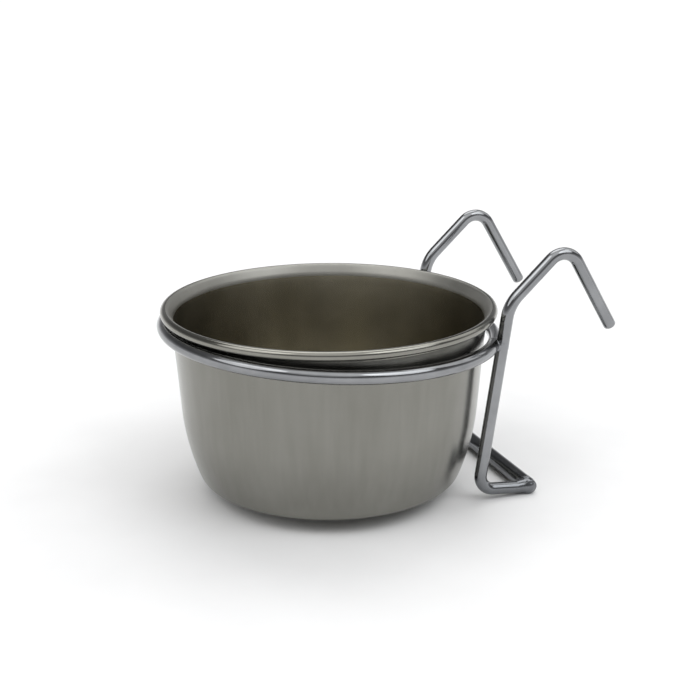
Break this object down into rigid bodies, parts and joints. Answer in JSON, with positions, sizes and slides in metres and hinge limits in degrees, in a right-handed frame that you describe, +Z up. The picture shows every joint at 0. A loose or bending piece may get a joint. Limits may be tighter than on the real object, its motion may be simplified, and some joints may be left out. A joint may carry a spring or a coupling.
{
  "type": "hook-on cage feeding cup",
  "caption": "Round steel feeding cup standing in a wire ring holder whose hooks hang over a cage bar and whose crossbar bears on the cage wall.",
  "frame": {"origin": "centre of the cup's base, on the surface it stands on", "axes": "+Z up along the cup's axis, +X from the cup towards the cage wall and the hooks, +Y to the left when facing the cage wall"},
  "size_m": [0.1341, 0.1046, 0.0773],
  "materials": {
    "cup_steel": "bright drawn stainless steel, polished inside and lightly brushed outside",
    "wire_chrome": "bright plated wire",
    "weld_chrome": "plated resistance weld, slightly dull"
  },
  "bodies": {
    "holder": {"ring": "wire_chrome", "ring_butt_weld": "weld_chrome", "right_hook": "wire_chrome", "left_hook": "wire_chrome", "crossbar": "wire_chrome", "right_ring_weld": "weld_chrome", "left_ring_weld": "weld_chrome", "right_foot_weld": "weld_chrome", "left_foot_weld": "weld_chrome"},
    "cup": {"cup": "cup_steel"}
  },
  "joints": [
    {"name": "cup_lift", "type": "slide", "parent": "holder", "child": "cup", "axis": [0, 0, 1], "range_m": [-0.0002, 0.06]}
  ]
}
